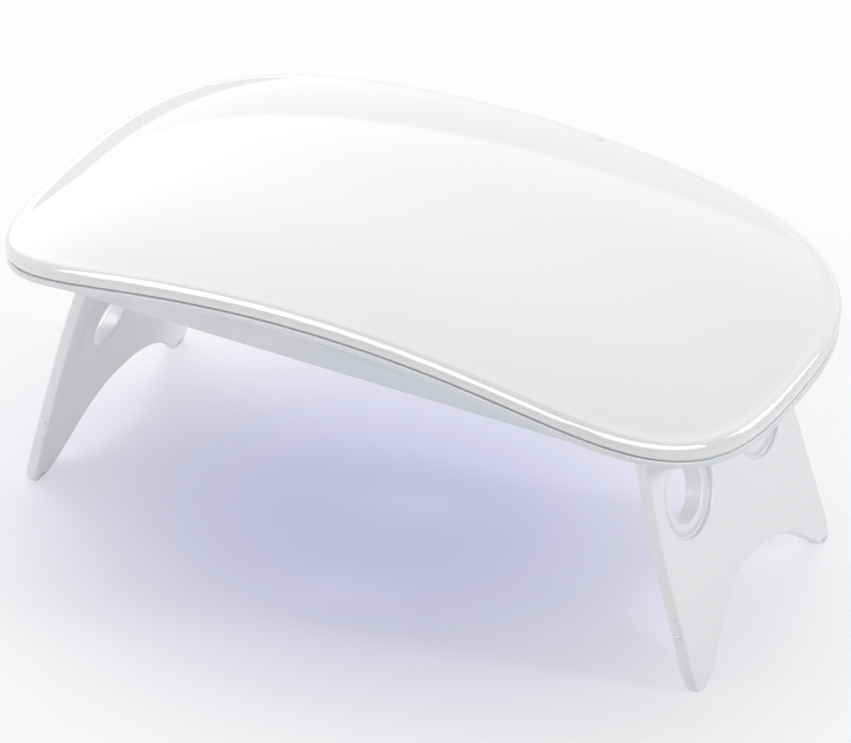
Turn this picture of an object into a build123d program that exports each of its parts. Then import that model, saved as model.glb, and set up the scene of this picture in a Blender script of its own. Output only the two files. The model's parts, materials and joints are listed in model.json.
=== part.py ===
from build123d import *
import math
import os

# Gel nail lamp: an arched lid over a shallow housing, standing on two leaning plate legs
# that fold flat under it. Millimetres. The origin is on the table, under the middle of
# the lamp: +X runs along the lamp, +Y towards the back, +Z up.

# Overall form
half_length = 68.5
half_width = 36.0
end_power = 6.2
side_power = 2.85
outline_points = 48
seam_middle = 56.5
seam_end = 44.7
lip_height = 2.3
crown_rise = 3.0
rolled_edge = 1.9
cover_wall = 1.6
crown_steps = 12
crown_pitch_x = 6.0
crown_pitch_y = 3.4
arch_rise = seam_middle - seam_end
arch_radius = (half_length ** 2 + arch_rise ** 2) / (2 * arch_rise)

# The lid is the press plate: it sinks a little onto the switch
press_travel = 0.3
clear = 0.3
seam_gap = press_travel + clear

# Lower housing
housing_bottom = 43.0
housing_half_width = 26.0
scoop_top = 56.0
scoop_top_half_width = 33.8
scoop_bulge = 0.5
housing_wall = 1.6
rim_inset = 0.4
rim_thickness = 0.9
body_inset = 1.6
body_end_power = 3.9
cavity_inset = 3.4
recess_roof = 46.9
floor_top = 48.1
cavity_end = 46.0
pocket_start = 54.4
pocket_floor = 44.8
window_length = 60.0
window_width = 26.0
window_corner = 2.0

# Legs
lean = 15.4
foot_outer = 63.7
leg_thickness = 2.3
barrel_radius = 1.75
pivot_height = 44.8
leg_top_half_width = 21.6
front_side = [(22.4, -1.0), (23.9, 0.3), (24.45, 2.2), (24.55, 8.0), (24.4, 15.0), (24.05, 24.0),
              (23.5, 32.0), (22.5, 39.0), (21.8, 43.0)]
back_side = [(23.3, -1.0), (24.7, 0.3), (25.15, 2.2), (24.95, 8.0), (24.5, 15.0), (24.0, 24.0),
             (23.4, 32.0), (22.5, 39.0), (21.8, 43.0)]
front_arch = [(5.8, 10.1), (11.2, 7.0), (14.8, 3.8), (18.3, 1.1), (20.9, 0.0), (23.4, -1.0)]
back_arch = [(22.9, -1.0), (21.9, 0.0), (19.2, 2.5), (15.8, 5.6), (10.4, 8.8), (5.4, 10.4)]
arch_height = 10.9
hole_offset = 12.5
hole_height = 31.0
hole_radius = 5.5
hole_inner_radius = 4.7
dish_radius = 7.9
dish_depth = 0.6
boss_radius = 7.4
boss_top_radius = 5.7
boss_rise = 1.2
leg_edge = 0.5
hole_edge = 0.4
snap_radius = 0.5
snap_out = 0.2
snap_width = 1.0
snap_places = [(-24.5, 10.9), (-24.4, 14.3), (24.8, 10.9), (24.55, 14.3)]

# Fits, roots and the least flat left beside a full round
fit = 0.05
press_fit = 0.02
root = 0.6
sharp = 0.01

# Hinge pins
pin_radius = 0.8
pin_inner = 17.6
pin_outer = 25.5
bore_depth = 4.5
recess_side = [(52.0, 22.15), (45.0, 22.15), (38.0, 23.5), (30.0, 24.3), (14.0, 25.45)]

# Light engine
reflector_size = (64.0, 30.0, 0.8)
light_board_size = (75.0, 32.0, 1.2)
light_board_bottom = 50.2
led_columns = [-24.0, 0.0, 24.0]
led_rows = [-8.0, 8.0]
led_base = 5.0
led_base_height = 1.0
led_lens_radius = 2.0
reflector_hole = 3.2
light_screw_x = 34.6
light_screw_y = 10.0
light_screw_reach = 2.4

# Control electronics
control_board_size = (48.0, 42.0, 1.1)
control_board_bottom = 52.8
control_screw_x = 21.0
control_screw_y = 18.4
control_screw_reach = 4.0
standoff_radius = 2.0
switch_size = 6.0
switch_height = 2.2
plunger_radius = 1.75
plunger_rise = 1.0
plunger_depth = 0.7
plunger_chamfer = 0.2
press_boss_radius = 2.6
capacitor_radius = 2.0
capacitor_height = 3.4

# Power socket
socket_board_size = (12.0, 7.0, 1.0)
socket_board_back = 28.0
socket_width = 8.9
socket_height = 3.2
socket_wall = 0.3
socket_base = 1.2
socket_back = 22.6
socket_mouth = 30.2
tongue_width = 6.4
tongue_thickness = 0.7
tongue_gap = 0.6
port_width = 10.6
port_height = 4.6

# Screws and wires
screw_radius = 0.95
screw_head_radius = 1.9
screw_head_height = 1.2
screw_head_round = 0.4
screw_slot = (2.0, 0.5, 0.5)
board_hole_gap = 0.15
guide_x = 58.0
guide_y = 17.0
guide_radius = 1.55
guide_ledge = 45.0
guide_head_radius = 2.1
guide_well_radius = 2.5
guide_boss_radius = 3.4
guide_thread_radius = 0.8
guide_thread_depth = 3.2
guide_screw_reach = 3.0
wire_radius = 0.45
wire_bend = 1.0
wire_rise = 1.6
wire_offset = 2.2
socket_wire_y = 21.8
control_wire_y = 18.6
light_wire_x = 28.0
control_wire_x = 21.5

# Indicator
indicator_x = 15.8
indicator_y = 33.3
pipe_radius = 0.6
pipe_bar = (1.4, 0.8)
pipe_bar_bottom = 56.0
pipe_end = 19.6
status_light_y = 20.2

# Heights and lengths past every piece, for cutting through
below = 40.0
above = 65.0
reach = 90.0

lean_angle = math.radians(lean)
leg_length = (pivot_height + barrel_radius * math.sin(lean_angle)) / math.cos(lean_angle)
pivot_x = (foot_outer - leg_length * math.sin(lean_angle)
           - barrel_radius * math.cos(lean_angle))
control_board_top = control_board_bottom + control_board_size[2]
light_board_top = light_board_bottom + light_board_size[2]
socket_level = floor_top + socket_board_size[2] + socket_height / 2


def block(size, x, y, bottom):
    """A box standing on a height, centred on a plan position."""
    return Pos(x, y, bottom) * Box(*size, align=(Align.CENTER, Align.CENTER, Align.MIN))


def rod(radius, x, y, bottom, top):
    """An upright cylinder between two heights."""
    return Pos(x, y, bottom) * Cylinder(
        radius, top - bottom, align=(Align.CENTER, Align.CENTER, Align.MIN))


def rounded_outline(inset, bluntness):
    """The plan outline, blunt at its ends and bowed along its sides, drawn in."""
    points = []
    for step in range(outline_points):
        turn = 2 * math.pi * (step + 0.5) / outline_points
        across, along = math.sin(turn), math.cos(turn)
        x = math.copysign(abs(along) ** (2 / bluntness), along) * (half_length - inset)
        y = math.copysign(abs(across) ** (2 / side_power), across) * (half_width - inset)
        points.append((x, y))
    return make_face(Spline(*points, periodic=True))


def prism(inset, bluntness=end_power):
    """The plan outline as an upright solid, taller than the lamp's upper part."""
    return extrude(Pos(0, 0, below) * rounded_outline(inset, bluntness), above - below)


def through(size_x, size_y, bottom=below):
    """An upright block for cutting, on the lamp's middle, from a height upwards."""
    return block((size_x, size_y, above - bottom), 0, 0, bottom)


def under_arch(middle):
    """Everything below an arched surface that is highest in the middle."""
    return Pos(0, 0, middle - arch_radius) * Rot(90, 0, 0) * Cylinder(arch_radius, reach)


def crown_height(x, y):
    """Height of the lid's outer surface, which falls away to the rolled edge."""
    arch = arch_radius - math.sqrt(arch_radius ** 2 - x ** 2)
    ends = crown_rise * abs(x / half_length) ** end_power
    sides = crown_rise * abs(y / half_width) ** side_power
    return seam_middle + lip_height + crown_rise - arch - ends - sides


def under_crown(drop):
    """Everything just below the lid's outer surface, moved down by a wall."""
    rows = [step * crown_pitch_x for step in range(-crown_steps, crown_steps + 1)]
    columns = [step * crown_pitch_y for step in range(-crown_steps, crown_steps + 1)]
    grid = [[Vector(x, y, crown_height(x, y) - drop) for y in columns] for x in rows]
    surface = Face.make_surface_from_array_of_points(grid)
    return extrude(surface, above - below, dir=(0, 0, -1))


def scoop(inset):
    """The housing's side walls, which lean out from the bottom to the rim."""
    low = housing_half_width - inset
    high = scoop_top_half_width - inset
    middle = ((low + high) / 2 + scoop_bulge, (housing_bottom + scoop_top) / 2)
    right = ThreePointArc((low, housing_bottom), middle, (high, scoop_top))
    left = mirror(right, about=Plane.YZ)
    floor = Line((low, housing_bottom), (-low, housing_bottom))
    roof = Line((high, scoop_top), (-high, scoop_top))
    section = Plane.YZ * make_face([right, left, floor, roof])
    return extrude(section, half_length, both=True)


def facing_back(y, height):
    """A plane across the lamp, drawn from the back and extruded towards the front."""
    return Plane(origin=(0, y, height), x_dir=(1, 0, 0), z_dir=(0, -1, 0)).location


def pill(width, height):
    """A flat outline with fully round ends, as the power socket has."""
    return RectangleRounded(width, height, height / 2 - sharp)


def corners(x, y):
    """The four mirrored plan positions of one fastener."""
    return [(side * x, end * y) for side in (1, -1) for end in (1, -1)]


def make_top_cover():
    """The glossy lid with its press boss, guide posts and indicator hole."""
    outer = (prism(0) & under_crown(0)) - under_arch(seam_middle)
    skin = outer.faces().sort_by(Axis.Z)[-1]
    outer = fillet(skin.edges(), rolled_edge)
    inner = prism(cover_wall) & under_crown(cover_wall)
    boss = rod(press_boss_radius, 0, 0,
               control_board_top + switch_height + plunger_rise + clear,
               crown_height(0, 0) - cover_wall + root)
    cover = (outer - inner) + boss
    post_top = crown_height(guide_x, guide_y) - cover_wall + root
    for x, y in corners(guide_x, guide_y):
        cover += rod(guide_radius, x, y, guide_ledge - clear, post_top)
        cover -= rod(guide_thread_radius, x, y, guide_ledge - clear,
                     guide_ledge + guide_thread_depth)
    return cover - rod(pipe_radius + press_fit, indicator_x, indicator_y, seam_end, above)


def make_lower_housing():
    """The tray under the lid: rim, scooped sides, leg recess, floor and bosses."""
    rim_top = seam_middle - seam_gap
    rim = (prism(rim_inset) & under_arch(rim_top)) - under_arch(rim_top - rim_thickness)
    body = scoop(0) & prism(body_inset, body_end_power) & under_arch(rim_top)
    hollow = scoop(housing_wall) & prism(cavity_inset, body_end_power)
    main_space = hollow & through(2 * cavity_end, reach, floor_top)
    end_space = hollow & through(2 * reach, reach, pocket_floor)
    end_space -= through(2 * pocket_start, reach)
    for x, y in corners(guide_x, guide_y):
        end_space -= rod(guide_boss_radius, x, y, below, above)
    housing = rim + body - main_space - end_space
    back = recess_side + [(-x, y) for x, y in reversed(recess_side)]
    front = [(x, -y) for x, y in reversed(back)]
    plan = Polyline(*back, *front, close=True)
    housing -= extrude(Pos(0, 0, below) * make_face(plan), recess_roof - below)
    window = RectangleRounded(window_length, window_width, window_corner)
    housing -= extrude(Pos(0, 0, below) * window, light_board_bottom - below)
    for x, y in corners(light_screw_x, light_screw_y):
        housing += rod(standoff_radius, x, y, recess_roof, light_board_bottom)
        housing -= rod(screw_radius + fit, x, y, light_board_top - light_screw_reach - fit, above)
    for x, y in corners(control_screw_x, control_screw_y):
        housing += rod(standoff_radius, x, y, recess_roof, control_board_bottom)
        housing -= rod(screw_radius + fit, x, y,
                       control_board_top - control_screw_reach - fit, above)
    for x, y in corners(guide_x, guide_y):
        housing -= rod(guide_radius + fit, x, y, below, above)
        housing -= rod(guide_well_radius, x, y, below, guide_ledge)
    for side, end in corners(1, 1):
        bore = Pos(side * pivot_x, end * pin_outer / 2, pivot_height) * Rot(90, 0, 0)
        housing -= bore * Cylinder(pin_radius + press_fit, pin_outer + fit)
    port = facing_back(half_width, socket_level) * pill(port_width, port_height)
    return housing - extrude(port, half_width - socket_board_back)


def leg_place(across, up, depth):
    """A place on the right leg, from the outer face's middle at the floor."""
    plane = Plane(origin=(foot_outer, 0, 0), x_dir=(0, 1, 0),
                  z_dir=(math.cos(lean_angle), 0, math.sin(lean_angle)))
    return plane.location * Pos(across, up, -depth)


def make_leg_right():
    """A leaning plate with an arched foot, two finger holes and a hinge barrel."""
    back_edge = Spline(*back_side, (leg_top_half_width, leg_length))
    front_edge = Spline(*[(-across, up) for across, up in front_side],
                        (-leg_top_half_width, leg_length))
    top_edge = Line(back_edge @ 1, front_edge @ 1)
    arch = Spline(*back_arch, (0, arch_height), *[(-across, up) for across, up in front_arch])
    back_foot = Line(arch @ 0, back_edge @ 0)
    front_foot = Line(arch @ 1, front_edge @ 0)
    plate = make_face([back_edge, top_edge, front_edge, front_foot, arch, back_foot])
    leg = extrude(leg_place(0, 0, leg_thickness) * plate, leg_thickness)
    leg -= block((4 * reach, reach, reach), 0, 0, -reach)
    leg = fillet(leg.edges().filter_by(GeomType.BSPLINE), leg_edge)
    for side in (1, -1):
        here = leg_place(side * hole_offset, hole_height, leg_thickness + boss_rise)
        up_only = (Align.CENTER, Align.CENTER, Align.MIN)
        leg += here * Cone(boss_top_radius, boss_radius, boss_rise, align=up_only)
        leg -= here * Cone(hole_inner_radius, hole_radius, leg_thickness + boss_rise,
                           align=up_only)
        dish = leg_place(side * hole_offset, hole_height, dish_depth)
        leg -= dish * Cone(dish_radius - dish_depth, dish_radius, dish_depth, align=up_only)
    rims = leg.edges().filter_by(GeomType.CIRCLE)
    leg = fillet([rim for rim in rims if rim.radius < hole_radius], hole_edge)
    barrel = leg_place(0, leg_length, barrel_radius) * Rot(0, 90, 0) \
        * Cylinder(barrel_radius, 2 * leg_top_half_width)
    leg += barrel
    for side in (1, -1):
        bore_middle = leg_top_half_width - bore_depth / 2 + 0.5
        leg -= leg_place(side * bore_middle, leg_length, barrel_radius) * Rot(0, 90, 0) \
            * Cylinder(pin_radius + fit, bore_depth + 1)
    for across, up in snap_places:
        inward = math.copysign(snap_radius - snap_out, across)
        leg += leg_place(across - inward, up, leg_thickness / 2) * Cylinder(snap_radius, snap_width)
    return leg


def make_hinge_pin(side, end):
    """A steel pin from the housing's ear into the leg's barrel."""
    middle = end * (pin_inner + pin_outer) / 2
    return Pos(side * pivot_x, middle, pivot_height) * Rot(90, 0, 0) \
        * Cylinder(pin_radius, pin_outer - pin_inner)


def make_reflector():
    """The mirror sheet round the light sources."""
    sheet = block(reflector_size, 0, 0, floor_top)
    for x in led_columns:
        for y in led_rows:
            sheet -= Pos(x, y, floor_top) * Cone(
                reflector_hole + reflector_size[2], reflector_hole, reflector_size[2],
                align=(Align.CENTER, Align.CENTER, Align.MIN))
    return sheet


def make_light_board():
    """The metal-cored board that carries the light sources."""
    board = block(light_board_size, 0, 0, light_board_bottom)
    for x, y in corners(light_screw_x, light_screw_y):
        board -= rod(screw_radius + board_hole_gap, x, y, below, above)
    return board


def make_led_base(x, y):
    """The square package of one light source, under the board."""
    return block((led_base, led_base, led_base_height), x, y,
                 light_board_bottom - led_base_height)


def make_led_lens(x, y):
    """The clear dome of one light source, facing down."""
    seat = light_board_bottom - led_base_height
    ball = Pos(x, y, seat) * Sphere(led_lens_radius)
    return ball & block((reach, reach, 10), 0, 0, seat - 10)


def make_screw(x, y, seat, length):
    """A cross-slotted pan-head screw down through a board."""
    head = rod(screw_head_radius, 0, 0, 0, screw_head_height)
    head = fillet(head.edges().sort_by(Axis.Z)[-1], screw_head_round)
    screw = head + rod(screw_radius, 0, 0, -length, 0)
    slot_long, slot_wide, slot_deep = screw_slot
    slot_bottom = screw_head_height - slot_deep
    screw -= block((slot_long, slot_wide, slot_deep), 0, 0, slot_bottom)
    screw -= block((slot_wide, slot_long, slot_deep), 0, 0, slot_bottom)
    return Pos(x, y, seat) * screw


def make_cover_screw(x, y):
    """A retaining screw under the ledge, turned up into the lid's post."""
    seat = guide_ledge - clear
    head = rod(guide_head_radius, 0, 0, 0, screw_head_height)
    screw = head + rod(guide_thread_radius - fit, 0, 0, -guide_screw_reach, 0)
    slot_long, slot_wide, slot_deep = screw_slot
    slot_bottom = screw_head_height - slot_deep
    screw -= block((slot_long, slot_wide, slot_deep), 0, 0, slot_bottom)
    screw -= block((slot_wide, slot_long, slot_deep), 0, 0, slot_bottom)
    return Pos(x, y, seat) * Rot(180, 0, 0) * screw


def make_control_board():
    """The circuit board with the switch in its middle."""
    board = block(control_board_size, 0, 0, control_board_bottom)
    for x, y in corners(control_screw_x, control_screw_y):
        board -= rod(screw_radius + board_hole_gap, x, y, below, above)
    return board


def make_switch_body():
    """The square case of the press switch, with the plunger's bore."""
    case = block((switch_size, switch_size, switch_height), 0, 0, control_board_top)
    top = control_board_top + switch_height
    return case - rod(plunger_radius + fit, 0, 0, top - plunger_depth - 2 * clear, top)


def make_switch_plunger():
    """The round plunger that the lid pushes."""
    top = control_board_top + switch_height
    plunger = rod(plunger_radius, 0, 0, top - plunger_depth + press_travel, top + plunger_rise)
    return chamfer(plunger.edges().sort_by(Axis.Z)[-1], plunger_chamfer)


def make_socket_shell():
    """The rounded metal shell of the power socket, open at the back of the lamp."""
    length = socket_mouth - socket_back
    face = facing_back(socket_mouth, socket_level)
    outer = pill(socket_width, socket_height)
    inner = pill(socket_width - 2 * socket_wall, socket_height - 2 * socket_wall)
    shell = extrude(face * outer, length)
    return shell - extrude(face * inner, length - socket_base)


def make_socket_tongue():
    """The contact tongue inside the power socket."""
    start = socket_back + socket_base
    length = socket_mouth - start - tongue_gap
    tongue = Box(tongue_width, length, tongue_thickness)
    return Pos(0, start + length / 2, socket_level) * tongue


def make_light_pipe():
    """The clear pipe from the status light to the dot near the lid's back edge."""
    bar_wide, bar_high = pipe_bar
    bar_long = indicator_y + pipe_radius - pipe_end
    bar = block((bar_wide, bar_long, bar_high), indicator_x, pipe_end + bar_long / 2,
                pipe_bar_bottom)
    head = rod(pipe_radius, indicator_x, indicator_y, pipe_bar_bottom + bar_high / 2,
               crown_height(indicator_x, indicator_y))
    return bar + head


def make_wire(points):
    """A short insulated wire along a bent route."""
    route = FilletPolyline(*points, radius=wire_bend)
    start = Plane(origin=route @ 0, z_dir=route % 0)
    return sweep(start * Circle(wire_radius), path=route)


def over_and_down(start, finish, over):
    """A wire's route: up from one board, across, and down onto another."""
    x0, y0, z0 = start
    x1, y1, z1 = finish
    return [start, (x0, y0, over), (x1, y1, over), finish]


board_blocks = {
    "controller_chip": ((5.0, 4.0, 1.5), -12, 8),
    "driver_chip": ((4.0, 3.6, 1.2), -12, -8),
    "inductor": ((6.0, 6.0, 3.0), 12, -10),
    "status_light": ((2.0, 1.2, 1.5), indicator_x, status_light_y),
}

parts = {
    "top_cover": make_top_cover(),
    "lower_housing": make_lower_housing(),
    "leg_right": make_leg_right(),
    "reflector": make_reflector(),
    "light_board": make_light_board(),
    "control_board": make_control_board(),
    "switch_body": make_switch_body(),
    "switch_plunger": make_switch_plunger(),
    "capacitor": rod(capacitor_radius, 12, 5, control_board_top,
                     control_board_top + capacitor_height),
    "light_pipe": make_light_pipe(),
    "socket_board": block(socket_board_size, 0, socket_board_back - socket_board_size[1] / 2,
                          floor_top),
    "socket_shell": make_socket_shell(),
    "socket_tongue": make_socket_tongue(),
}
parts["leg_left"] = mirror(parts["leg_right"], about=Plane.YZ)

for name, (size, x, y) in board_blocks.items():
    parts[name] = block(size, x, y, control_board_top)

for number, (side, end) in enumerate(corners(1, 1), start=1):
    parts[f"hinge_pin_{number}"] = make_hinge_pin(side, end)
for number, (x, y) in enumerate(corners(light_screw_x, light_screw_y), start=1):
    parts[f"light_board_screw_{number}"] = make_screw(
        x, y, light_board_top, light_screw_reach)
for number, (x, y) in enumerate(corners(control_screw_x, control_screw_y), start=1):
    parts[f"control_board_screw_{number}"] = make_screw(
        x, y, control_board_top, control_screw_reach)
for number, (x, y) in enumerate(corners(guide_x, guide_y), start=1):
    parts[f"cover_screw_{number}"] = make_cover_screw(x, y)
for number, (x, y) in enumerate([(x, y) for x in led_columns for y in led_rows], start=1):
    parts[f"led_base_{number}"] = make_led_base(x, y)
    parts[f"led_lens_{number}"] = make_led_lens(x, y)

wire_over = control_board_top + wire_rise
for colour, offset in (("red", wire_offset), ("black", -wire_offset)):
    socket_end = (offset, socket_wire_y, floor_top + socket_board_size[2])
    parts[f"socket_wire_{colour}"] = make_wire(
        over_and_down(socket_end, (offset, control_wire_y, control_board_top), wire_over))
    board_end = (light_wire_x, offset, light_board_top)
    parts[f"light_wire_{colour}"] = make_wire(
        over_and_down(board_end, (control_wire_x, offset, control_board_top), wire_over))

os.makedirs("parts", exist_ok=True)
for name, shape in parts.items():
    export_step(shape, f"parts/{name}.step")
    box = shape.bounding_box()
    print(f"{name}: {shape.volume:.1f} mm3, z {box.min.Z:.2f} to {box.max.Z:.2f}")
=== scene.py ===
import json
import math

import bmesh
import bpy
from mathutils import Matrix, Vector

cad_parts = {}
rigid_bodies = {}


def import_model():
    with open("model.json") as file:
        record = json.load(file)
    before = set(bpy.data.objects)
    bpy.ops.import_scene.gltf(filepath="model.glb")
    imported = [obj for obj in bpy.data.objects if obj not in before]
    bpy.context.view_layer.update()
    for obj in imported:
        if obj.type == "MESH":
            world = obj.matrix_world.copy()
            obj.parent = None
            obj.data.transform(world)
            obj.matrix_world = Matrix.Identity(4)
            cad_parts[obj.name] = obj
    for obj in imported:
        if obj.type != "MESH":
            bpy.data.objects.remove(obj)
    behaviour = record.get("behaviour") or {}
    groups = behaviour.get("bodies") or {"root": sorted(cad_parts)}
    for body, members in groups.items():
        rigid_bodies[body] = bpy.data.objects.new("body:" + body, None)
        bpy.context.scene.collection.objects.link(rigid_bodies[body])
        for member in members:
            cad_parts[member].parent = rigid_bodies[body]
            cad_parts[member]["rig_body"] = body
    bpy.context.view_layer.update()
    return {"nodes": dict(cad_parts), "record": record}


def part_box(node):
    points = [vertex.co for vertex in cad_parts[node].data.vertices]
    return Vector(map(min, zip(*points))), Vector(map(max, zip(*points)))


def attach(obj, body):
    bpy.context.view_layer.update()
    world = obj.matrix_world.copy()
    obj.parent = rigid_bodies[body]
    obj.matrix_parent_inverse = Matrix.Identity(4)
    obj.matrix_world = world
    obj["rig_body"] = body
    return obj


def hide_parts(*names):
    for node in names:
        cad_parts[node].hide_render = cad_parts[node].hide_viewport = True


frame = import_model()
nodes = frame["nodes"]
mm = 0.001
quarterTurn = math.radians(90)
print("frame loaded with", len(nodes), "nodes")


# Small helpers for working by hand

def pickOnly(obj):
    if bpy.context.object and bpy.context.object.mode != "OBJECT":
        bpy.ops.object.mode_set(mode="OBJECT")
    bpy.ops.object.select_all(action="DESELECT")
    obj.select_set(True)
    bpy.context.view_layer.objects.active = obj


def nameIt(name):
    obj = bpy.context.object
    obj.name = name
    obj.data.name = name
    return obj


def editMode(obj, selectAll=False):
    pickOnly(obj)
    bpy.ops.object.mode_set(mode="EDIT")
    bpy.ops.mesh.select_all(action="SELECT" if selectAll else "DESELECT")


def objectMode():
    bpy.ops.object.mode_set(mode="OBJECT")


def settle(obj):  # puts the place into the mesh, so the object stays at the origin
    pickOnly(obj)
    bpy.ops.object.transform_apply(location=True, rotation=True, scale=True)
    return obj


def useModifier(obj, kind, **values):
    pickOnly(obj)
    modifier = obj.modifiers.new(kind.title(), kind)
    for name, value in values.items():
        setattr(modifier, name, value)
    bpy.ops.object.modifier_apply(modifier=modifier.name)


def smoothByAngle(obj, degrees):
    pickOnly(obj)
    bpy.ops.object.shade_smooth_by_angle(angle=math.radians(degrees))


def weldShell(obj, gap):  # merges what meets and turns the faces outwards
    editMode(obj, selectAll=True)
    bpy.ops.mesh.remove_doubles(threshold=gap)
    bpy.ops.mesh.select_all(action="SELECT")
    bpy.ops.mesh.normals_make_consistent(inside=False)
    objectMode()


def joinInto(target, others):
    pickOnly(target)
    for other in others:
        other.select_set(True)
    bpy.ops.object.join()
    return target


def cylinderAt(name, radius, low, high, sides, x=0.0, y=0.0):  # upright, between two heights
    bpy.ops.object.select_all(action="DESELECT")
    bpy.ops.mesh.primitive_cylinder_add(vertices=sides, radius=radius, depth=high - low,
                                        location=(x, y, (low + high) / 2))
    return settle(nameIt(name))


def selectEdges(obj, wanted):  # wanted takes an edge of the open edit mesh
    mesh = bmesh.from_edit_mesh(obj.data)
    bpy.ops.mesh.select_mode(type="EDGE")
    for edge in mesh.edges:
        edge.select_set(wanted(edge))
    bmesh.update_edit_mesh(obj.data)


# Lid: the outline is blunt at its ends and bowed along its sides

lid = {
    "halfLength": 68.5 * mm, "halfWidth": 36.0 * mm,
    "endPower": 6.2, "sidePower": 2.85,  # a higher power is blunter
    "seamMiddle": 56.5 * mm, "seamEnd": 44.7 * mm,  # the seam's heights, which make the arch
    "lip": 2.3 * mm, "crown": 3.0 * mm,
    "roll": 1.9 * mm, "rollSteps": 12,  # radius of the rolled edge
    "tuck": 0.4 * mm, "tuckSteps": 5,
    "wall": 1.6 * mm,
    "cellsAlong": 108, "cellsAcross": 64,
    "rounds": 14,  # of closing in on the outline
    "weld": 0.002 * mm, "smooth": 32,  # smooth is in degrees, here and below
}
tinyShare = 1e-6  # a share this near 0 or 1 is the sheet's middle or its rim


def archDrop(x):  # how far the arch has sunk at x
    rise = lid["seamMiddle"] - lid["seamEnd"]
    radius = (lid["halfLength"] ** 2 + rise ** 2) / (2 * rise)
    return radius - math.sqrt(radius ** 2 - x ** 2)


def crownHeight(x, y):  # of the lid's top
    ends = lid["crown"] * abs(x / lid["halfLength"]) ** lid["endPower"]
    sides = lid["crown"] * abs(y / lid["halfWidth"]) ** lid["sidePower"]
    return lid["seamMiddle"] + lid["lip"] + lid["crown"] - archDrop(x) - ends - sides


def edgePoint(along, across):  # the outline in that direction, and the way out of it
    p, q = lid["endPower"], lid["sidePower"]
    reach = 1.0
    for _ in range(lid["rounds"]):
        ends, sides = abs(reach * along) ** p, abs(reach * across) ** q
        reach -= (ends + sides - 1) * reach / (p * ends + q * sides)
    outX = p * abs(reach * along) ** (p - 1) / lid["halfLength"]
    outY = q * abs(reach * across) ** (q - 1) / lid["halfWidth"]
    out = Vector((math.copysign(outX, along), math.copysign(outY, across))).normalized()
    return Vector((lid["halfLength"] * reach * along, lid["halfWidth"] * reach * across)), out


def rimKey(point):  # names a point on a rim by its place, to 0.0001 mm
    return tuple(round(value, 7) for value in point)


def lidSheet(name, inset, drop):  # a grid pressed to the outline and the crown
    bpy.ops.object.select_all(action="DESELECT")
    bpy.ops.mesh.primitive_grid_add(x_subdivisions=lid["cellsAlong"],
                                    y_subdivisions=lid["cellsAcross"], size=2)
    sheet = nameIt(name)
    rim = {}
    for vertex in sheet.data.vertices:
        u, v = vertex.co.x, vertex.co.y
        share = max(abs(u), abs(v))
        if share < tinyShare:
            vertex.co = (0, 0, crownHeight(0, 0) - drop)
            continue
        edge, out = edgePoint(u / share, v / share)
        x, y = (edge - out * inset) * share
        vertex.co = (x, y, crownHeight(x, y) - drop)
        if share > 1 - tinyShare:
            rim[rimKey(vertex.co)] = (edge, out)
    return sheet, rim


def drawRing(sheet, rim, place):  # extrudes the open edge and puts each point where place says
    bpy.ops.mesh.extrude_edges_move()
    mesh = bmesh.from_edit_mesh(sheet.data)
    moved = {}
    for vertex in mesh.verts:
        if vertex.select:
            edge, out = rim[rimKey(vertex.co)]
            vertex.co = place(edge, out)
            moved[rimKey(vertex.co)] = (edge, out)
    bmesh.update_edit_mesh(sheet.data)
    return moved


def makeLidShell():
    roll, wall = lid["roll"], lid["wall"]
    shell, rim = lidSheet("lidShell", roll, 0)
    editMode(shell)
    selectEdges(shell, lambda edge: edge.is_boundary)
    for step in range(1, lid["rollSteps"] + 1):
        turn = quarterTurn * step / lid["rollSteps"]

        def rolled(edge, out):
            inner = edge - out * roll
            point = edge - out * roll * (1 - math.sin(turn))
            height = crownHeight(inner.x, inner.y) - roll * (1 - math.cos(turn))
            return Vector((point.x, point.y, height))
        rim = drawRing(shell, rim, rolled)
    for step in range(1, lid["tuckSteps"] + 1):
        share = step / lid["tuckSteps"]

        def lipWall(edge, out):  # the lip turns a little inwards towards the seam
            inner = edge - out * roll
            point = edge - out * lid["tuck"] * share ** 2
            high = crownHeight(inner.x, inner.y) - roll
            low = lid["seamMiddle"] - archDrop(edge.x - out.x * lid["tuck"])
            return Vector((point.x, point.y, high + (low - high) * share))
        rim = drawRing(shell, rim, lipWall)

    def underLip(edge, out):
        point = edge - out * wall
        return Vector((point.x, point.y, lid["seamMiddle"] - archDrop(point.x)))
    rim = drawRing(shell, rim, underLip)

    def insideTop(edge, out):
        point = edge - out * wall
        return Vector((point.x, point.y, crownHeight(point.x, point.y) - wall))
    drawRing(shell, rim, insideTop)
    objectMode()
    roof, _ = lidSheet("lidRoof", wall, wall)
    editMode(roof, selectAll=True)
    bpy.ops.mesh.flip_normals()
    objectMode()
    joinInto(shell, [roof])
    weldShell(shell, lid["weld"])
    return shell


# What stands inside the lid, a press boss and four guide posts, and the hole of the tiny dot

lidInside = {
    "postX": 58.0 * mm, "postY": 17.0 * mm, "postRadius": 1.55 * mm, "postEnd": 44.7 * mm,
    "screwRadius": 0.78 * mm, "screwDepth": 3.4 * mm, "root": 0.8 * mm,
    "bossRadius": 2.6 * mm, "bossGap": 0.3 * mm,
    "pipeRadius": 0.6 * mm, "pipeGap": 0.03 * mm, "pipeCut": 4 * mm,
    "bossSides": 48, "postSides": 32, "screwSides": 24, "pipeSides": 32,
}


def fourCorners(x, y):
    return [(side * x, end * y) for side in (1, -1) for end in (1, -1)]


def makePosts(shape):  # the posts and the screw holes up them
    posts, holes = [], []
    end, root = shape["postEnd"], shape["root"]
    for x, y in fourCorners(shape["postX"], shape["postY"]):
        roof = crownHeight(x, y) - lid["wall"] + root
        posts.append(cylinderAt("guidePost", shape["postRadius"], end, roof,
                                shape["postSides"], x, y))
        holes.append(cylinderAt("postHole", shape["screwRadius"], end - root,
                                end + shape["screwDepth"], shape["screwSides"], x, y))
    return posts, holes


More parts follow.
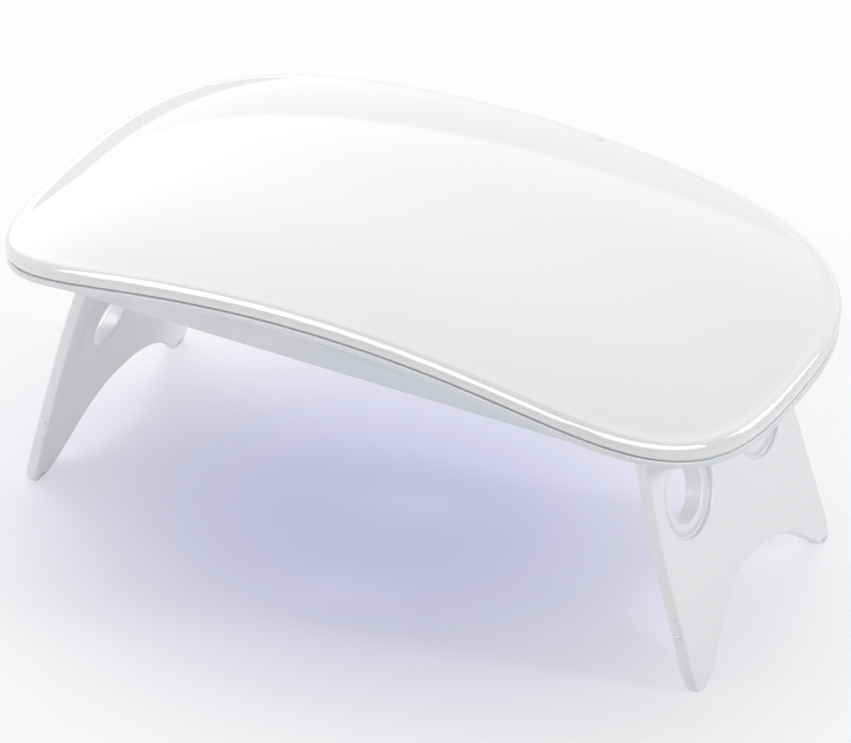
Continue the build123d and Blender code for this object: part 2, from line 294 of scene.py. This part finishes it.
def makeDotHole(shape):  # round the light pipe's tip, which is the dot
    low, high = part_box("light_pipe")
    return cylinderAt("dotHole", shape["pipeRadius"] + shape["pipeGap"],
                      high.z - shape["pipeCut"], high.z + shape["pipeCut"],
                      shape["pipeSides"], (low.x + high.x) / 2, high.y - shape["pipeRadius"])


def addLidInside(shell):
    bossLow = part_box("switch_plunger")[1].z + lidInside["bossGap"]
    bossHigh = crownHeight(0, 0) - lid["wall"] + lidInside["root"]
    solid = cylinderAt("pressBoss", lidInside["bossRadius"], bossLow, bossHigh,
                       lidInside["bossSides"])
    posts, holes = makePosts(lidInside)
    joinInto(solid, posts)
    holes.append(makeDotHole(lidInside))
    cutter = joinInto(holes[0], holes[1:])
    useModifier(shell, "BOOLEAN", operation="UNION", object=solid, solver="EXACT")
    useModifier(shell, "BOOLEAN", operation="DIFFERENCE", object=cutter, solver="EXACT")
    bpy.data.objects.remove(solid)
    bpy.data.objects.remove(cutter)


lidShell = makeLidShell()
addLidInside(lidShell)
smoothByAngle(lidShell, lid["smooth"])
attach(lidShell, "lid")
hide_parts("top_cover")
print("lid made:", len(lidShell.data.polygons), "faces")


# Rim of the housing: a thin band that follows the lid's outline and arch, with rounded edges

rimBand = {
    "points": 260, "inset": 0.2 * mm, "depth": 2.6 * mm,
    "top": 56.12 * mm, "thickness": 1.16 * mm,
    "edge": 0.28 * mm, "edgeSteps": 4,  # radius of its two outer edges
    "weld": 0.002 * mm, "smooth": 40,
}


def bandSection():  # inset and height of each point round the band's rounded section
    edge, steps = rimBand["edge"], rimBand["edgeSteps"]
    middle, inner = rimBand["inset"] + edge, rimBand["inset"] + rimBand["depth"]
    high, low = 0.0, -rimBand["thickness"]
    section = [(inner, low)]
    for height, start in ((low + edge, 3 * quarterTurn), (high - edge, 2 * quarterTurn)):
        for step in range(steps + 1):
            turn = start - quarterTurn * step / steps
            section.append((middle + edge * math.cos(turn), height + edge * math.sin(turn)))
    section.append((inner, high))
    return section


def makeRimBand():
    bpy.ops.object.select_all(action="DESELECT")
    bpy.ops.mesh.primitive_circle_add(vertices=rimBand["points"], radius=1, fill_type="NOTHING")
    band = nameIt("rimBand")
    section = bandSection()

    def placed(edge, out, inset, height):
        point = edge - out * inset
        return Vector((point.x, point.y, rimBand["top"] - archDrop(point.x) + height))
    rim = {}
    for vertex in band.data.vertices:
        edge, out = edgePoint(vertex.co.x, vertex.co.y)
        vertex.co = placed(edge, out, *section[0])
        rim[rimKey(vertex.co)] = (edge, out)
    editMode(band, selectAll=True)
    for inset, height in section[1:] + section[:1]:
        rim = drawRing(band, rim, lambda edge, out: placed(edge, out, inset, height))
    weldShell(band, rimBand["weld"])
    smoothByAngle(band, rimBand["smooth"])
    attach(band, "housing")
    return band


rimBandPiece = makeRimBand()
print("rim band made:", len(rimBandPiece.data.polygons), "faces")


# Leg rings: what cuts a fine groove round both dished rings on a leg's outer face

legRing = {
    "lean": 15.4, "footOuter": 63.7 * mm,  # of the leg's outer face
    "up": 31.0 * mm, "offset": 12.5 * mm,  # each ring's place up and along that face
    "radius": 7.42 * mm, "depth": 0.5 * mm, "thickness": 0.3 * mm,
    "sides": 96, "tubeSides": 12,
}


def ringCutter(side):  # 1 for the right leg, -1 for the left
    lean = math.radians(legRing["lean"])
    x = legRing["footOuter"] - legRing["up"] * math.sin(lean) - legRing["depth"] * math.cos(lean)
    z = legRing["up"] * math.cos(lean) - legRing["depth"] * math.sin(lean)
    rings = []
    for end in (-1, 1):
        bpy.ops.object.select_all(action="DESELECT")
        bpy.ops.mesh.primitive_torus_add(
            major_segments=legRing["sides"], minor_segments=legRing["tubeSides"],
            major_radius=legRing["radius"], minor_radius=legRing["thickness"],
            location=(side * x, end * legRing["offset"], z),
            rotation=(0, side * (quarterTurn - lean), 0))
        rings.append(settle(nameIt("ringCutter")))
    return joinInto(rings[0], rings[1:])


# Moulded pieces taken over from the solids, merged and shaded smooth

moulded = {"weld": 0.001 * mm, "housingSmooth": 24, "legSmooth": 33}


def mouldedCopy(node, name, degrees, cutter=None):
    original = nodes[node]
    body = original["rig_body"]
    mesh = original.data.copy()
    piece = bpy.data.objects.new(name, mesh)
    bpy.context.scene.collection.objects.link(piece)
    editMode(piece, selectAll=True)
    bpy.ops.mesh.remove_doubles(threshold=moulded["weld"])
    objectMode()
    if cutter:
        useModifier(piece, "BOOLEAN", operation="DIFFERENCE", object=cutter, solver="EXACT")
        bpy.data.objects.remove(cutter)
    smoothByAngle(piece, degrees)
    useModifier(piece, "WEIGHTED_NORMAL", mode="FACE_AREA", keep_sharp=True)
    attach(piece, body)
    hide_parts(node)
    return piece


housingShell = mouldedCopy("lower_housing", "housingShell", moulded["housingSmooth"])
rightLegPlate = mouldedCopy("leg_right", "rightLegPlate", moulded["legSmooth"], ringCutter(1))
leftLegPlate = mouldedCopy("leg_left", "leftLegPlate", moulded["legSmooth"], ringCutter(-1))
print("housing and legs made:", len(rightLegPlate.data.polygons), "faces a leg")


# Finishes: each has a little colour drift, uneven gloss and a fine relief

noiseSpan = (0.3, 0.7)  # a noise texture's values mostly lie between these
cloudDetail = 3.0
grainDetail = 2.0


def startFinish(name):
    material = bpy.data.materials.new(name)
    material.use_nodes = True
    tree = material.node_tree
    tree.nodes.clear()
    out = tree.nodes.new("ShaderNodeOutputMaterial")
    skin = tree.nodes.new("ShaderNodeBsdfPrincipled")
    tree.links.new(skin.outputs["BSDF"], out.inputs["Surface"])
    place = tree.nodes.new("ShaderNodeTexCoord")
    return material, tree, skin, place


def cloudOf(tree, place, scale, detail=cloudDetail):
    cloud = tree.nodes.new("ShaderNodeTexNoise")
    cloud.inputs["Scale"].default_value = scale
    cloud.inputs["Detail"].default_value = detail
    tree.links.new(place.outputs["Object"], cloud.inputs["Vector"])
    return cloud


def tintBetween(tree, source, first, second):
    ramp = tree.nodes.new("ShaderNodeValToRGB")
    for element, position, colour in zip(ramp.color_ramp.elements, noiseSpan, (first, second)):
        element.position = position
        element.color = (*colour, 1)
    tree.links.new(source, ramp.inputs["Fac"])
    return ramp.outputs["Color"]


def mapRange(tree, source, span, result):  # turns a span of values into another
    node = tree.nodes.new("ShaderNodeMapRange")
    for end, before, after in zip(("Min", "Max"), span, result):
        node.inputs["From " + end].default_value = before
        node.inputs["To " + end].default_value = after
    tree.links.new(source, node.inputs["Value"])
    return node


def spread(tree, source, low, high):
    return mapRange(tree, source, noiseSpan, (low, high)).outputs["Result"]


def relief(tree, source, depth):
    bump = tree.nodes.new("ShaderNodeBump")
    bump.inputs["Distance"].default_value = depth
    bump.inputs["Strength"].default_value = 1.0
    tree.links.new(source, bump.inputs["Height"])
    return bump.outputs["Normal"]


def mathNode(tree, operation, first, second):  # each may be a socket or a number
    node = tree.nodes.new("ShaderNodeMath")
    node.operation = operation
    for slot, value in enumerate((first, second)):
        if isinstance(value, (int, float)):
            node.inputs[slot].default_value = value
        else:
            tree.links.new(value, node.inputs[slot])
    return node.outputs["Value"]


finishes = {
    "lid_gloss": {"colours": ((0.850, 0.853, 0.860), (0.862, 0.864, 0.870)), "rough": (0.05, 0.09),
                  "cloud": 30, "grain": 2600, "depth": 0.0006 * mm, "coat": 0.5, "coatRough": 0.03},
    "housing_plastic": {"colours": ((0.790, 0.805, 0.825), (0.815, 0.828, 0.845)),
                        "rough": (0.29, 0.36), "cloud": 40, "grain": 2200, "depth": 0.003 * mm},
    "leg_plastic": {"colours": ((0.890, 0.898, 0.915), (0.908, 0.915, 0.930)),
                    "rough": (0.29, 0.36), "cloud": 45, "grain": 2400, "depth": 0.003 * mm},
    "mirror_sheet": {"colours": ((0.80, 0.80, 0.82), (0.88, 0.88, 0.90)), "rough": (0.05, 0.12),
                     "cloud": 60, "grain": 900, "depth": 0.004 * mm, "metal": 1.0},
    "board_metal": {"colours": ((0.72, 0.73, 0.73), (0.80, 0.81, 0.80)), "rough": (0.32, 0.45),
                    "cloud": 90, "grain": 1500, "depth": 0.006 * mm},
    "black_plastic": {"colours": ((0.012, 0.012, 0.013), (0.03, 0.03, 0.032)),
                      "rough": (0.38, 0.55), "cloud": 200, "grain": 4000, "depth": 0.008 * mm},
    "grey_plastic": {"colours": ((0.17, 0.17, 0.18), (0.22, 0.22, 0.23)), "rough": (0.35, 0.5),
                     "cloud": 200, "grain": 4000, "depth": 0.006 * mm},
    "dark_ferrite": {"colours": ((0.02, 0.02, 0.022), (0.045, 0.044, 0.046)),
                     "rough": (0.5, 0.75), "cloud": 300, "grain": 5000, "depth": 0.02 * mm},
    "can_metal": {"colours": ((0.55, 0.55, 0.57), (0.68, 0.68, 0.70)), "rough": (0.29, 0.4),
                  "cloud": 200, "grain": 2500, "depth": 0.006 * mm, "metal": 1.0},
    "bright_steel": {"colours": ((0.50, 0.50, 0.52), (0.66, 0.66, 0.68)), "rough": (0.29, 0.4),
                     "cloud": 260, "grain": 3200, "depth": 0.006 * mm, "metal": 1.0},
    "white_ceramic": {"colours": ((0.68, 0.68, 0.65), (0.76, 0.76, 0.73)), "rough": (0.4, 0.55),
                      "cloud": 260, "grain": 4000, "depth": 0.008 * mm},
    "red_insulation": {"colours": ((0.32, 0.01, 0.01), (0.42, 0.02, 0.015)), "rough": (0.4, 0.55),
                       "cloud": 300, "grain": 3000, "depth": 0.01 * mm},
    "black_insulation": {"colours": ((0.012, 0.012, 0.012), (0.025, 0.025, 0.025)),
                         "rough": (0.4, 0.55), "cloud": 300, "grain": 3000, "depth": 0.01 * mm},
}


def mouldedFinish(slotName, look):
    material, tree, skin, place = startFinish(slotName + "Finish")
    drift = cloudOf(tree, place, look["cloud"])
    grain = cloudOf(tree, place, look["grain"], grainDetail)
    colour = tintBetween(tree, drift.outputs["Fac"], *look["colours"])
    tree.links.new(colour, skin.inputs["Base Color"])
    tree.links.new(spread(tree, drift.outputs["Fac"], *look["rough"]), skin.inputs["Roughness"])
    tree.links.new(relief(tree, grain.outputs["Fac"], look["depth"]), skin.inputs["Normal"])
    skin.inputs["Metallic"].default_value = look.get("metal", 0.0)
    skin.inputs["IOR"].default_value = look.get("ior", 1.5)
    skin.inputs["Coat Weight"].default_value = look.get("coat", 0.0)
    skin.inputs["Coat Roughness"].default_value = look.get("coatRough", 0.03)
    return material


# Resins, for the lenses, the status light and the light pipe: clear, milky or lit

clearResin = {
    "colours": ((0.90, 0.90, 0.97), (0.96, 0.96, 1.0)), "rough": (0.03, 0.08),
    "cloud": 400, "grain": 3000, "depth": 0.002 * mm, "ior": 1.49, "clearness": 0.92,
}
resins = {
    "clear_resin": clearResin,
    "milky_resin": {**clearResin, "colours": ((0.84, 0.84, 0.85), (0.88, 0.88, 0.89)),
                    "rough": (0.1, 0.2), "clearness": 0.12},
    "lit_resin": {**clearResin, "clearness": 0.5,
                  "glow": (0.50, 0.42, 1.0), "glowStrength": 0.7},  # the lamp is on
}


def resinFinish(slotName, look):
    material = mouldedFinish(slotName, look)
    skin = material.node_tree.nodes["Principled BSDF"]
    skin.inputs["Transmission Weight"].default_value = look["clearness"]
    if "glow" in look:
        skin.inputs["Emission Color"].default_value = (*look["glow"], 1)
        skin.inputs["Emission Strength"].default_value = look["glowStrength"]
    return material


mask = {"board": (0.012, 0.10, 0.045), "track": (0.03, 0.17, 0.08), "rough": (0.29, 0.42),
        "cloud": 200, "pitch": 260, "trackWidth": 0.06, "depth": 0.02 * mm}


def solderMaskFinish():  # green mask with faint raised copper tracks
    material, tree, skin, place = startFinish("circuit_boardFinish")
    cells = tree.nodes.new("ShaderNodeTexBrick")
    cells.inputs["Scale"].default_value = mask["pitch"]
    cells.inputs["Mortar Size"].default_value = mask["trackWidth"]
    cells.inputs["Color1"].default_value = (*mask["board"], 1)
    cells.inputs["Color2"].default_value = (*mask["board"], 1)
    cells.inputs["Mortar"].default_value = (*mask["track"], 1)
    tree.links.new(place.outputs["Object"], cells.inputs["Vector"])
    drift = cloudOf(tree, place, mask["cloud"])
    tree.links.new(cells.outputs["Color"], skin.inputs["Base Color"])
    tree.links.new(spread(tree, drift.outputs["Fac"], *mask["rough"]), skin.inputs["Roughness"])
    tree.links.new(relief(tree, cells.outputs["Fac"], mask["depth"]), skin.inputs["Normal"])
    return material


slotFinish = {slotName: mouldedFinish(slotName, look) for slotName, look in finishes.items()}
for slotName, look in resins.items():
    slotFinish[slotName] = resinFinish(slotName, look)
slotFinish["circuit_board"] = solderMaskFinish()


def dress(piece, slotName):
    piece.data.materials.clear()
    piece.data.materials.append(slotFinish[slotName])


for subpart in frame["record"]["subparts"]:
    dress(nodes[subpart["node"]], subpart["material_slot"])
dress(nodes["light_pipe"], "milky_resin")  # its tip shows as a pale dot
for name in nodes:
    if name.startswith("led_lens_"):
        dress(nodes[name], "lit_resin")
dress(lidShell, "lid_gloss")
dress(rimBandPiece, "housing_plastic")
dress(housingShell, "housing_plastic")
dress(rightLegPlate, "leg_plastic")
dress(leftLegPlate, "leg_plastic")


# Floor with the lamp's violet light painted on it, fading to white

floorLook = {
    # the violet colour here is painted light: the lamp's violet glow painted onto the floor
    "size": 8.0, "white": (0.985, 0.985, 0.99), "paintedGlowColour": (0.70, 0.688, 0.92),
    "centre": (-4 * mm, -5 * mm), "reachX": 88 * mm, "reachY": 72 * mm, "turn": 8,
    "fullAt": 0.9,  # how far in from the violet's edge it has its full colour
    "bounce": (0.93, 0.935, 0.95), "rough": 0.9, "gloss": 0.1,
    "lift": 0.42, "near": 45 * mm, "far": 140 * mm,  # how much it shines, fully from far on
}


def seenDirectly(tree):  # 1 for camera, glossy and transmission rays
    path = tree.nodes.new("ShaderNodeLightPath")
    mirror = mathNode(tree, "MAXIMUM", path.outputs["Is Camera Ray"], path.outputs["Is Glossy Ray"])
    return mathNode(tree, "MAXIMUM", mirror, path.outputs["Is Transmission Ray"])


def paintedLampGlow(tree, place):  # painted light: the lamp's violet glow painted into the floor's colour, from violet under the lamp to white
    shift = tree.nodes.new("ShaderNodeMapping")
    shift.vector_type = "TEXTURE"
    shift.inputs["Location"].default_value = (*floorLook["centre"], 0)
    shift.inputs["Rotation"].default_value = (0, 0, math.radians(floorLook["turn"]))
    shift.inputs["Scale"].default_value = (floorLook["reachX"], floorLook["reachY"], 1)
    glow = tree.nodes.new("ShaderNodeTexGradient")
    glow.gradient_type = "SPHERICAL"
    ramp = tree.nodes.new("ShaderNodeValToRGB")
    ramp.color_ramp.interpolation = "EASE"
    ramp.color_ramp.elements[0].color = (*floorLook["white"], 1)
    ramp.color_ramp.elements[1].position = floorLook["fullAt"]
    ramp.color_ramp.elements[1].color = (*floorLook["paintedGlowColour"], 1)
    tree.links.new(place.outputs["Object"], shift.inputs["Vector"])
    tree.links.new(shift.outputs["Vector"], glow.inputs["Vector"])
    tree.links.new(glow.outputs["Fac"], ramp.inputs["Fac"])
    return ramp.outputs["Color"]


def awayFromLamp(tree, place):  # grows from the lift near the lamp to 1 far off
    away = tree.nodes.new("ShaderNodeVectorMath")
    away.operation = "LENGTH"
    tree.links.new(place.outputs["Object"], away.inputs[0])
    lift = mapRange(tree, away.outputs["Value"], (floorLook["near"], floorLook["far"]),
                    (floorLook["lift"], 1.0))
    lift.interpolation_type = "SMOOTHSTEP"
    return lift.outputs["Result"]


def makeFloor():
    bpy.ops.object.select_all(action="DESELECT")
    bpy.ops.mesh.primitive_plane_add(size=floorLook["size"], location=(0, 0, 0))
    floor = nameIt("floor")
    material, tree, skin, place = startFinish("floorPaper")
    # the floor's colour holds the painted violet glow of the lamp, which its shine also gives off
    paintedGlow = paintedLampGlow(tree, place)
    seen = seenDirectly(tree)
    colour = tree.nodes.new("ShaderNodeMix")  # other rays meet a plain pale floor
    colour.data_type = "RGBA"
    colour.inputs["A"].default_value = (*floorLook["bounce"], 1)
    tree.links.new(seen, colour.inputs["Factor"])
    tree.links.new(paintedGlow, colour.inputs["B"])
    tree.links.new(colour.outputs["Result"], skin.inputs["Base Color"])
    skin.inputs["Roughness"].default_value = floorLook["rough"]
    skin.inputs["Specular IOR Level"].default_value = floorLook["gloss"]
    shine = tree.nodes.new("ShaderNodeEmission")
    mix = tree.nodes.new("ShaderNodeMixShader")
    shineShare = mathNode(tree, "MULTIPLY", seen, awayFromLamp(tree, place))
    tree.links.new(paintedGlow, shine.inputs["Color"])
    tree.links.new(shineShare, mix.inputs["Fac"])
    tree.links.new(skin.outputs["BSDF"], mix.inputs[1])
    tree.links.new(shine.outputs["Emission"], mix.inputs[2])
    tree.links.new(mix.outputs["Shader"], tree.nodes["Material Output"].inputs["Surface"])
    floor.data.materials.append(material)


makeFloor()
print("floor made")


# Lights: a big panel behind and three strips, which show only in the gloss, then a back light,
# a front fill and a side lamp, which don't show in it

lightAim = Vector((0, 0, 55 * mm))
lights = {  # sizes in metres
    "softPanel": {"direction": (-0.205, 0.823, 0.530), "distance": 3.0,
                  "width": 7.2, "height": 5.4, "radiance": 1.0, "gloss": True},
    "frontStrip": {"direction": (-0.42, -0.66, 0.62), "distance": 1.6,
                   "width": 2.2, "height": 1.0, "radiance": 6.0, "gloss": True},
    "cornerStrip": {"direction": (0.62, -0.38, 0.62), "distance": 1.6,
                    "width": 2.4, "height": 0.95, "radiance": 6.0, "gloss": True},
    "rightStrip": {"direction": (0.68, 0.62, 0.38), "distance": 1.6,
                   "width": 0.6, "height": 0.6, "radiance": 5.0, "gloss": True},
    "backLight": {"direction": (-0.42, 0.36, 0.83), "distance": 3.0,
                  "width": 3.0, "height": 2.0, "radiance": 1.8, "gloss": False},
    "frontFill": {"direction": (-0.72, -0.64, 0.26), "distance": 2.0,
                  "width": 2.0, "height": 1.0, "radiance": 1.2, "gloss": False},
    "sideLamp": {"direction": (0.88, 0.20, 0.43), "distance": 1.6,
                 "width": 0.2, "height": 0.2, "radiance": 42, "gloss": False},
}


def softBox(name, look):
    bpy.ops.object.light_add(type="AREA")
    box = bpy.context.object
    box.name = name
    box.data.shape = "RECTANGLE"
    box.data.size = look["width"]
    box.data.size_y = look["height"]
    box.data.energy = math.pi * look["width"] * look["height"] * look["radiance"]
    box.visible_diffuse = not look["gloss"]
    box.visible_glossy = look["gloss"]
    facing = Vector(look["direction"]).normalized()
    box.location = lightAim + facing * look["distance"]
    box.rotation_euler = facing.to_track_quat("Z", "Y").to_euler()
    return box


# Panel's brightness: a bowed edge, which the lid mirrors, parts a dim stretch from a bright one

panelLook = {
    "edge": (-0.1098, 0.0466, -0.8486), "blur": 0.012,  # its height, its slant and its bow
    "below": 0.56, "above": 1.20, "far": 0.58,  # above the edge it fades upwards to far
    "lean": 0.75, "fade": 1.2,  # how the fade tilts, and how long it is
}


def shadePanel(light, size):  # Parametric runs from 0 to 1 along each side of the panel
    light.use_nodes = True
    tree = light.node_tree
    spot = tree.nodes.new("ShaderNodeNewGeometry")
    split = tree.nodes.new("ShaderNodeSeparateXYZ")
    tree.links.new(spot.outputs["Parametric"], split.inputs["Vector"])
    aside = mathNode(tree, "SUBTRACT", 0.5, split.outputs["X"])
    aside = mathNode(tree, "MULTIPLY", aside, size["width"] / size["distance"])
    upward = mathNode(tree, "SUBTRACT", split.outputs["Y"], 0.5)
    upward = mathNode(tree, "MULTIPLY", upward, size["height"] / size["distance"])
    middle, slant, bow = panelLook["edge"]
    curve = mathNode(tree, "MULTIPLY", mathNode(tree, "MULTIPLY", aside, aside), bow)
    curve = mathNode(tree, "ADD", curve, mathNode(tree, "MULTIPLY", aside, slant))
    above = mathNode(tree, "SUBTRACT", upward, mathNode(tree, "ADD", curve, middle))
    below, blur = panelLook["below"], panelLook["blur"]
    inside = mapRange(tree, above, (-blur, blur), (0.0, 1.0))
    lean = mathNode(tree, "MULTIPLY", aside, panelLook["lean"])
    fade = mapRange(tree, mathNode(tree, "ADD", above, lean), (0.0, panelLook["fade"]),
                    (panelLook["above"] - below, panelLook["far"] - below))
    extra = mathNode(tree, "MULTIPLY", inside.outputs["Result"], fade.outputs["Result"])
    strength = mathNode(tree, "ADD", extra, below)
    tree.links.new(strength, tree.nodes["Emission"].inputs["Strength"])


# Sky: an even grey light that is white where it is seen

skyLook = {"light": 0.48, "seen": 1.0}


def makeSky():
    world = bpy.data.worlds.new("sky")
    bpy.context.scene.world = world
    world.use_nodes = True
    tree = world.node_tree
    sky = tree.nodes["Background"]
    sky.inputs["Color"].default_value = (1, 1, 1, 1)
    strength = mapRange(tree, seenDirectly(tree), (0.0, 1.0), (skyLook["light"], skyLook["seen"]))
    tree.links.new(strength.outputs["Result"], sky.inputs["Strength"])


boxes = {name: softBox(name, look) for name, look in lights.items()}
shadePanel(boxes["softPanel"].data, lights["softPanel"])
makeSky()
print("lights and sky made")


# Camera at the photograph's angle

shot = {
    "azimuth": 29.137, "elevation": 34.32, "roll": -0.781,
    "distance": 869.57 * mm, "target": (0.955 * mm, 0.0, 27.935 * mm),
    "lens": 223.31, "farthest": 20.0,  # nothing is drawn beyond farthest
}


def makeCamera():
    azimuth = math.radians(shot["azimuth"])
    elevation = math.radians(shot["elevation"])
    roll = math.radians(shot["roll"])
    back = Vector((math.sin(azimuth) * math.cos(elevation),
                   -math.cos(azimuth) * math.cos(elevation), math.sin(elevation)))
    level = Vector((math.cos(azimuth), math.sin(azimuth), 0))
    upright = back.cross(level)
    right = level * math.cos(roll) + upright * math.sin(roll)
    top = upright * math.cos(roll) - level * math.sin(roll)
    bpy.ops.object.camera_add()
    camera = bpy.context.object
    turn = Matrix((right, top, back)).transposed()
    place = Vector(shot["target"]) + back * shot["distance"]
    camera.matrix_world = Matrix.Translation(place) @ turn.to_4x4()
    camera.data.lens = shot["lens"]
    camera.data.clip_end = shot["farthest"]
    bpy.context.scene.camera = camera


makeCamera()
bpy.context.scene.view_settings.view_transform = "Standard"
print("camera set")
